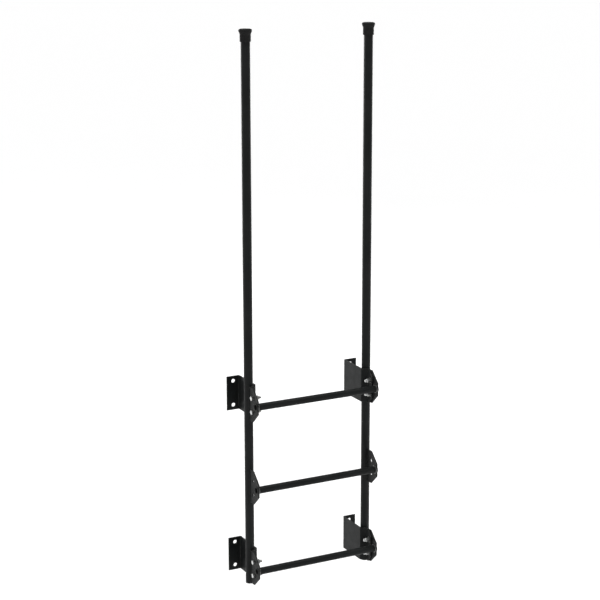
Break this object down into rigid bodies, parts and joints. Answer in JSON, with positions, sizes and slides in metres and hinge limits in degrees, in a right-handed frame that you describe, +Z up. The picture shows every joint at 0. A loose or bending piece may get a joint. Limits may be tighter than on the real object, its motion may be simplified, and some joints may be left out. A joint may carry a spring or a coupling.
{
  "type": "fixed wall ladder",
  "caption": "Wall-mounted tubular ladder with round rungs, gusset plates, bent wall brackets and tall walk-through handrails with flared rubber caps.",
  "frame": {"origin": "on the wall plane, midway between the rails, at the centre of the wall anchor pattern (level with the middle rung's gussets)", "axes": "+Z up, +Y into the wall, +X to the right of a climber who faces the wall"},
  "size_m": [0.5236, 0.208, 1.9731],
  "materials": {
    "rail_steel": "satin black powder coat",
    "rung_steel": "satin black powder coat",
    "plate_steel": "satin black powder coat",
    "cap_rubber": "matt black rubber",
    "zinc": "bright zinc plate"
  },
  "bodies": {
    "root": {"left_rail": "rail_steel", "right_rail": "rail_steel", "left_cap": "cap_rubber", "right_cap": "cap_rubber", "top_rung": "rung_steel", "middle_rung": "rung_steel", "bottom_rung": "rung_steel", "left_top_gusset": "plate_steel", "left_middle_gusset": "plate_steel", "left_bottom_gusset": "plate_steel", "right_top_gusset": "plate_steel", "right_middle_gusset": "plate_steel", "right_bottom_gusset": "plate_steel", "left_top_bracket": "plate_steel", "left_bottom_bracket": "plate_steel", "right_top_bracket": "plate_steel", "right_bottom_bracket": "plate_steel", "left_top_bolts": "zinc", "left_bottom_bolts": "zinc", "right_top_bolts": "zinc", "right_bottom_bolts": "zinc", "left_top_nuts": "zinc", "left_bottom_nuts": "zinc", "right_top_nuts": "zinc", "right_bottom_nuts": "zinc", "left_top_flat_washers": "zinc", "left_bottom_flat_washers": "zinc", "right_top_flat_washers": "zinc", "right_bottom_flat_washers": "zinc", "left_top_lock_washers": "zinc", "left_bottom_lock_washers": "zinc", "right_top_lock_washers": "zinc", "right_bottom_lock_washers": "zinc"}
  },
  "joints": []
}
